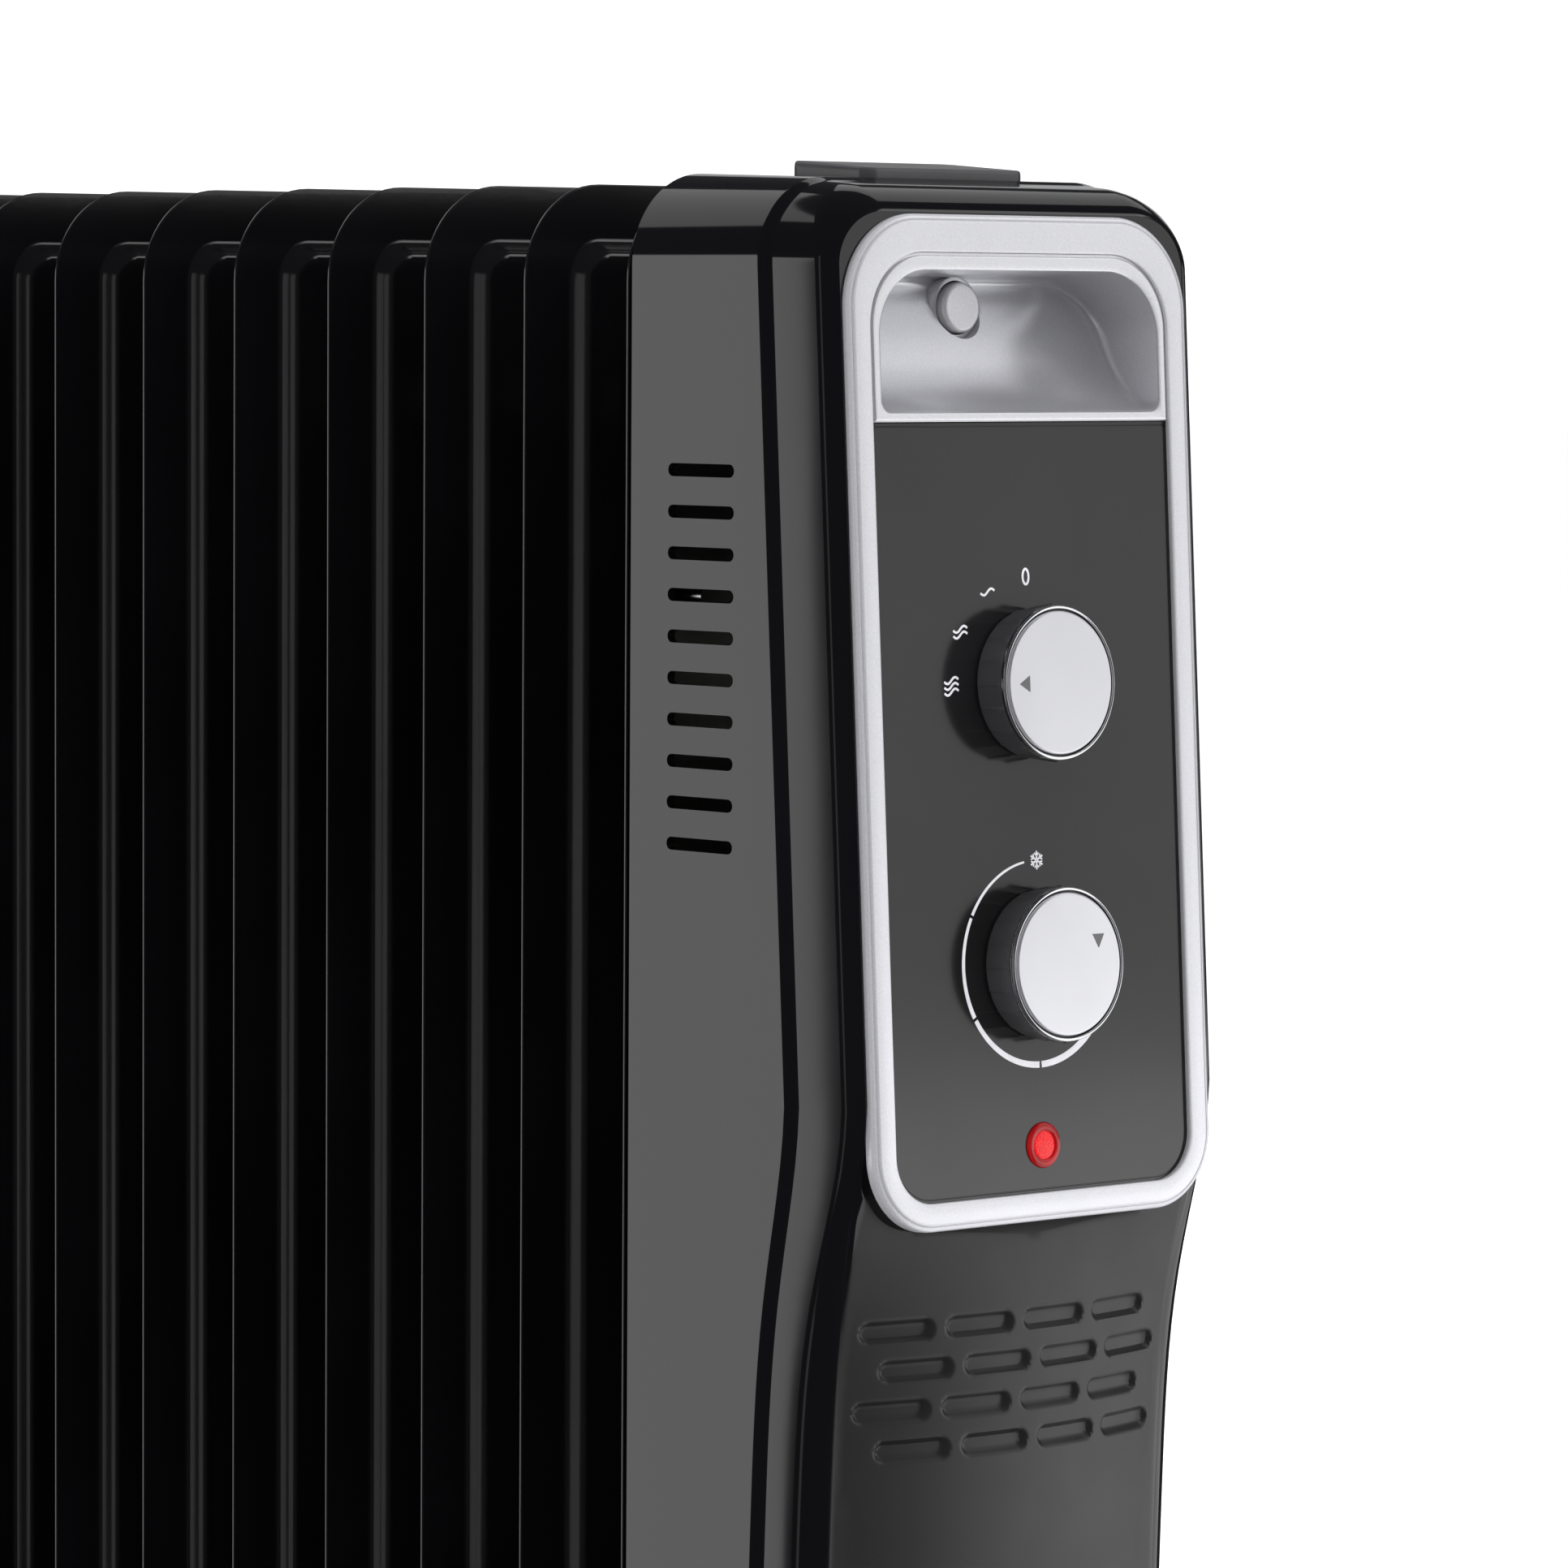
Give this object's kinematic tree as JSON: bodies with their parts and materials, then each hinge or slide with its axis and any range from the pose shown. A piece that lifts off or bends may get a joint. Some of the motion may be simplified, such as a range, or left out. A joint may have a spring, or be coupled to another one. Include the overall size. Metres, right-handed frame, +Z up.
{
  "type": "oil filled radiator heater",
  "caption": "Free-standing oil filled radiator on swivel casters: gloss black pressed steel fins and a leaning end housing with two dials, a lamp and a silver grip recess.",
  "frame": {"origin": "centre of the overall box's underside, on the floor under the wheels", "axes": "+X towards the end with the controls, +Y across the fins, +Z up"},
  "size_m": [0.5744, 0.24, 0.6429],
  "materials": {
    "fin_enamel": "gloss black stoved enamel",
    "housing_gloss": "gloss black moulded plastic",
    "silver_satin": "satin silver paint on plastic",
    "panel_matte": "fine matte dark grey",
    "knob_gloss": "gloss black moulded plastic",
    "rim_chrome": "bright plated",
    "cap_aluminium": "satin spun aluminium",
    "red_lens": "clear red moulded lens",
    "smoked_grip": "smoky dark grey satin",
    "black_plastic": "fine textured black plastic",
    "wheel_plastic": "satin black nylon",
    "white_plastic": "heat resistant off-white plastic",
    "zinc_steel": "zinc plated steel",
    "screw_steel": "bright plated steel",
    "spring_steel": "drawn spring wire",
    "sheath_steel": "sheathed heating tube, dull steel",
    "gasket": "pressed fibre seal",
    "wire_cover": "heat resistant wire insulation"
  },
  "bodies": {
    "radiator": {"fin_01": "fin_enamel", "fin_02": "fin_enamel", "fin_03": "fin_enamel", "fin_04": "fin_enamel", "fin_05": "fin_enamel", "fin_06": "fin_enamel", "fin_07": "fin_enamel", "fin_08": "fin_enamel", "fin_09": "fin_enamel", "fin_10": "fin_enamel", "fin_11": "fin_enamel", "oil_filler_plug": "zinc_steel", "element_gasket": "gasket", "heating_element": "sheath_steel", "control_housing": "housing_gloss", "rear_plate": "zinc_steel", "rear_plate_screws": "screw_steel", "top_grip": "smoked_grip", "cord_gland": "black_plastic", "terminal_block": "white_plastic", "tilt_switch": "black_plastic", "thermal_cutout": "zinc_steel", "cutout_bracket": "zinc_steel", "internal_wiring": "wire_cover", "silver_frame": "silver_satin", "control_panel": "panel_matte", "grip_insert": "silver_satin", "button_spring": "spring_steel", "button_switch": "black_plastic", "lamp_lens": "red_lens", "lamp_body": "white_plastic", "selector_switch": "white_plastic", "thermostat_body": "white_plastic", "switch_screws": "screw_steel", "front_foot_bar": "black_plastic", "rear_foot_bar": "black_plastic", "front_u_bolt": "zinc_steel", "rear_u_bolt": "zinc_steel", "wing_nuts": "zinc_steel"},
    "selector_dial": {"selector_knob": "knob_gloss", "selector_knob_ring": "rim_chrome", "selector_knob_cap": "cap_aluminium", "selector_shaft": "screw_steel"},
    "thermostat_dial": {"thermostat_knob": "knob_gloss", "thermostat_knob_ring": "rim_chrome", "thermostat_knob_cap": "cap_aluminium", "thermostat_shaft": "screw_steel"},
    "push_button": {"grip_button": "silver_satin"},
    "front_left_caster": {"front_left_fork": "black_plastic", "front_left_axle": "screw_steel"},
    "front_left_roller": {"front_left_wheel": "wheel_plastic"},
    "front_right_caster": {"front_right_fork": "black_plastic", "front_right_axle": "screw_steel"},
    "front_right_roller": {"front_right_wheel": "wheel_plastic"},
    "rear_left_caster": {"rear_left_fork": "black_plastic", "rear_left_axle": "screw_steel"},
    "rear_left_roller": {"rear_left_wheel": "wheel_plastic"},
    "rear_right_caster": {"rear_right_fork": "black_plastic", "rear_right_axle": "screw_steel"},
    "rear_right_roller": {"rear_right_wheel": "wheel_plastic"}
  },
  "joints": [
    {"name": "selector_turn", "type": "hinge", "parent": "radiator", "child": "selector_dial", "pos_m": [0.26973, 0, 0.4962], "axis": [0.9984, 0, 0.0558], "range_deg": [-90, 0]},
    {"name": "thermostat_turn", "type": "hinge", "parent": "radiator", "child": "thermostat_dial", "pos_m": [0.27414, 0, 0.41742], "axis": [0.9984, 0, 0.0558], "range_deg": [-300, 0]},
    {"name": "button_press", "type": "slide", "parent": "radiator", "child": "push_button", "axis": [-0.9984, 0, -0.0558], "range_m": [0, 0.002], "stiffness_N_per_m": 350, "springref_m": -0.001, "deforming": ["button_spring"]},
    {"name": "front_left_swivel", "type": "hinge", "parent": "radiator", "child": "front_left_caster", "pos_m": [0.1573, 0.102, 0.05], "axis": [0, 0, 1], "continuous": true},
    {"name": "front_left_roll", "type": "hinge", "parent": "front_left_caster", "child": "front_left_roller", "pos_m": [0.1713, 0.102, 0.021], "axis": [0, 1, 0], "continuous": true},
    {"name": "front_right_swivel", "type": "hinge", "parent": "radiator", "child": "front_right_caster", "pos_m": [0.1573, -0.102, 0.05], "axis": [0, 0, 1], "continuous": true},
    {"name": "front_right_roll", "type": "hinge", "parent": "front_right_caster", "child": "front_right_roller", "pos_m": [0.1713, -0.102, 0.021], "axis": [0, 1, 0], "continuous": true},
    {"name": "rear_left_swivel", "type": "hinge", "parent": "radiator", "child": "rear_left_caster", "pos_m": [-0.2477, 0.102, 0.05], "axis": [0, 0, 1], "continuous": true},
    {"name": "rear_left_roll", "type": "hinge", "parent": "rear_left_caster", "child": "rear_left_roller", "pos_m": [-0.2337, 0.102, 0.021], "axis": [0, 1, 0], "continuous": true},
    {"name": "rear_right_swivel", "type": "hinge", "parent": "radiator", "child": "rear_right_caster", "pos_m": [-0.2477, -0.102, 0.05], "axis": [0, 0, 1], "continuous": true},
    {"name": "rear_right_roll", "type": "hinge", "parent": "rear_right_caster", "child": "rear_right_roller", "pos_m": [-0.2337, -0.102, 0.021], "axis": [0, 1, 0], "continuous": true}
  ]
}
